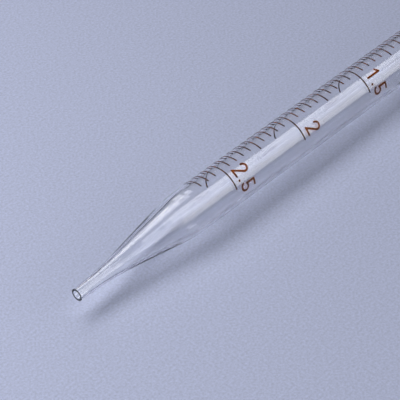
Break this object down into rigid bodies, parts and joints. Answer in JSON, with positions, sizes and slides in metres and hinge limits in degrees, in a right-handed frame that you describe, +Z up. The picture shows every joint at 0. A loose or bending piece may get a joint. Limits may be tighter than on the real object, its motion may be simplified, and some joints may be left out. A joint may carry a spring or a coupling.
{
  "type": "graduated pipette",
  "caption": "Straight clear glass measuring pipette, drawn down to a jet at one end, with a fired brown volume scale counting up towards the jet.",
  "frame": {"origin": "under the tube's axis at mid-length, on the surface that the tube lies on", "axes": "+X along the axis from the jet to the mouth, +Z up as the tube lies on a bench; the scale faces up, and its numbers lean towards -Y"},
  "size_m": [0.15, 0.0075, 0.0075],
  "materials": {
    "clear_glass": "clear, smooth, fire-polished at both ends",
    "brown_enamel": "fired reddish-brown enamel, slightly glossy"
  },
  "bodies": {
    "root": {"glass_tube": "clear_glass", "short_lines": "brown_enamel", "half_lines": "brown_enamel", "long_lines": "brown_enamel", "number_0": "brown_enamel", "number_0_5": "brown_enamel", "number_1": "brown_enamel", "number_1_5": "brown_enamel", "number_2": "brown_enamel", "number_2_5": "brown_enamel"}
  },
  "joints": []
}
